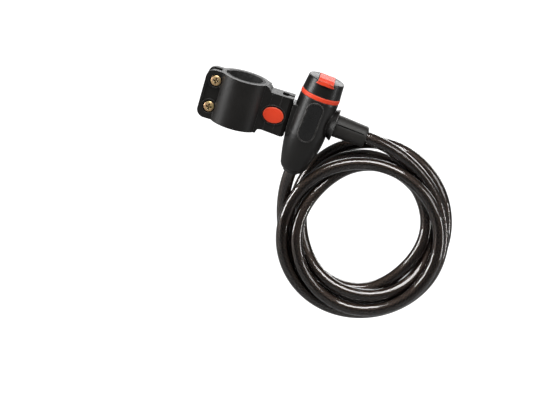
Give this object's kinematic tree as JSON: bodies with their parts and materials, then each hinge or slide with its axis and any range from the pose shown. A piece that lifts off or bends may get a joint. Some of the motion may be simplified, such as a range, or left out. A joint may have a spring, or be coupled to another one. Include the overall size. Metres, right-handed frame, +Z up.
{
  "type": "coil cable lock",
  "caption": "Coiled cable lock with keyed barrel, pull-out plug and hinged dust cover, hung in a quick-release seat post bracket with a push button.",
  "frame": {"origin": "Centre of the clamp's bore, on the seat post's axis, halfway up the clamp", "axes": "+Z up along the seat post's axis, +X from the post to the lock, -Y toward the side with the release button and the screw heads"},
  "size_m": [0.2245, 0.058, 0.1816],
  "materials": {
    "bracket_plastic": "satin black moulded plastic with fine grain",
    "lock_plastic": "satin black moulded plastic",
    "panel_plastic": "smooth black inlay, blank",
    "orange_plastic": "satin orange-red plastic",
    "rubber": "black rubber",
    "zinc_plate": "yellow zinc plated steel",
    "steel": "machined steel",
    "die_cast_zinc": "die cast metal",
    "brass": "machined brass",
    "cable_jacket": "clear smoky jacket over a braided steel cable"
  },
  "bodies": {
    "bracket": {"clamp_front": "bracket_plastic", "clamp_rear": "bracket_plastic", "clamp_liner": "rubber", "clamp_screws": "zinc_plate", "clamp_nuts": "zinc_plate", "holder_cover": "bracket_plastic", "cover_screws": "zinc_plate", "catch_spring": "steel", "catch_rivet": "steel"},
    "button": {"release_button": "orange_plastic"},
    "lock": {"lock_housing": "lock_plastic", "lock_barrel": "die_cast_zinc", "red_ring": "orange_plastic", "lock_cap": "lock_plastic", "label_panel": "panel_plastic", "mount_tongue": "lock_plastic", "tongue_screws": "zinc_plate", "socket_sleeve": "steel", "core_retaining_pin": "steel", "cable_anchor": "steel", "anchor_pin": "steel", "cable_gland": "rubber", "dust_cover_pin": "steel", "cable_lead": "cable_jacket", "cable_coil": "cable_jacket", "cable_tail": "cable_jacket"},
    "flap": {"dust_cover": "orange_plastic"},
    "core": {"key_core": "brass", "core_wafers": "brass"},
    "latch": {"latch": "steel"},
    "plug": {"plug_cover": "lock_plastic", "plug_bolt": "steel", "plug_ferrule": "steel"}
  },
  "joints": [
    {"name": "lock_lift", "type": "slide", "parent": "bracket", "child": "lock", "axis": [0, 0, 1], "range_m": [0, 0.034]},
    {"name": "button_press", "type": "slide", "parent": "bracket", "child": "button", "axis": [0, 1, 0], "range_m": [0, 0.0018], "stiffness_N_per_m": 900, "springref_m": -0.002, "deforming": ["catch_spring"]},
    {"name": "dust_cover_flip", "type": "hinge", "parent": "lock", "child": "flap", "pos_m": [0.06044, 0.0104, 0.0351], "axis": [-0.9969, 0, 0.0785], "range_deg": [0, 110]},
    {"name": "key_turn", "type": "hinge", "parent": "lock", "child": "core", "pos_m": [0.0579, 0, 0.0028], "axis": [0.0785, 0, 0.9969], "range_deg": [-90, 0]},
    {"name": "latch_slide", "type": "slide", "parent": "lock", "child": "latch", "axis": [0, 1, 0], "range_m": [-0.0018, 0]},
    {"name": "plug_pull", "type": "slide", "parent": "lock", "child": "plug", "axis": [0.9969, 0, -0.0785], "range_m": [0, 0.0225], "deforming": ["cable_tail"]}
  ],
  "couplings": [
    {"joint": "latch_slide", "follows": "key_turn", "m_per_rad": 0.0011459}
  ]
}
